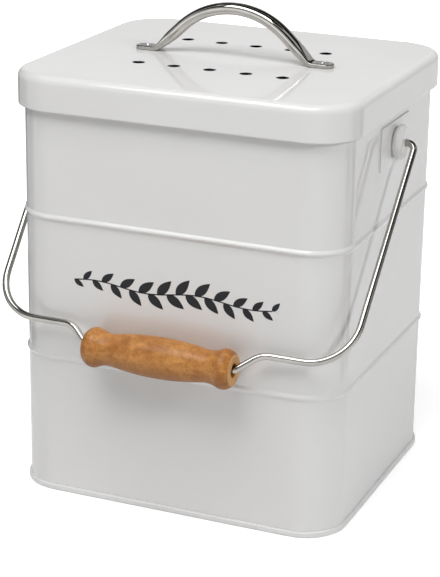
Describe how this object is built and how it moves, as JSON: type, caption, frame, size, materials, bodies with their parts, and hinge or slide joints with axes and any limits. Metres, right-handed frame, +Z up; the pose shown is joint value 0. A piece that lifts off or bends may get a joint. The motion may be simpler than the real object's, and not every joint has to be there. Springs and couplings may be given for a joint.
{
  "type": "compost caddy",
  "caption": "Countertop compost caddy: white sheet steel bin with a lift-off vented lid, steel lid handle, carbon filter, inner bucket and a wire bail with a wooden grip",
  "frame": {"origin": "on the floor under the middle of the bin", "axes": "+X to the right ear, -Y to the front where the bail rests, +Z up"},
  "size_m": [0.2294, 0.2052, 0.2853],
  "materials": {
    "white_paint": "semi-gloss off-white powder coat",
    "polished_steel": "polished stainless steel",
    "plated_steel": "bright zinc",
    "bucket_plastic": "light grey moulded, fine grain",
    "filter_plastic": "black moulded, fine grain",
    "seal_rubber": "translucent white silicone",
    "carbon_felt": "black carbon felt",
    "turned_wood": "clear varnish"
  },
  "bodies": {
    "bin": {"bin_wall": "white_paint", "base_panel": "white_paint", "ear_plate_left": "white_paint", "ear_plate_right": "white_paint", "ear_boss_left": "white_paint", "ear_boss_right": "white_paint"},
    "bucket": {"inner_bucket": "bucket_plastic"},
    "lid": {"lid_shell": "white_paint", "lid_seal": "seal_rubber", "lid_handle": "polished_steel", "handle_screws": "plated_steel", "screw_washers": "plated_steel", "screw_nuts": "plated_steel", "filter_frame": "filter_plastic"},
    "tray": {"filter_tray": "filter_plastic", "carbon_filter": "carbon_felt"},
    "bail": {"bail_wire": "polished_steel"},
    "grip": {"wooden_grip": "turned_wood"}
  },
  "joints": [
    {"name": "bucket_lift", "type": "slide", "parent": "bin", "child": "bucket", "axis": [0, 0, 1], "range_m": [0, 0.245]},
    {"name": "lid_lift", "type": "slide", "parent": "bucket", "child": "lid", "axis": [0, 0, 1], "range_m": [0, 0.06]},
    {"name": "filter_pull", "type": "slide", "parent": "lid", "child": "tray", "axis": [0, 0, -1], "range_m": [0, 0.03]},
    {"name": "bail_swing", "type": "hinge", "parent": "bin", "child": "bail", "pos_m": [0, 0, 0.2145], "axis": [-1, 0, 0], "range_deg": [0, 276]},
    {"name": "grip_spin", "type": "hinge", "parent": "bail", "child": "grip", "pos_m": [0, -0.1015, 0.10136], "axis": [1, 0, 0], "continuous": true}
  ]
}
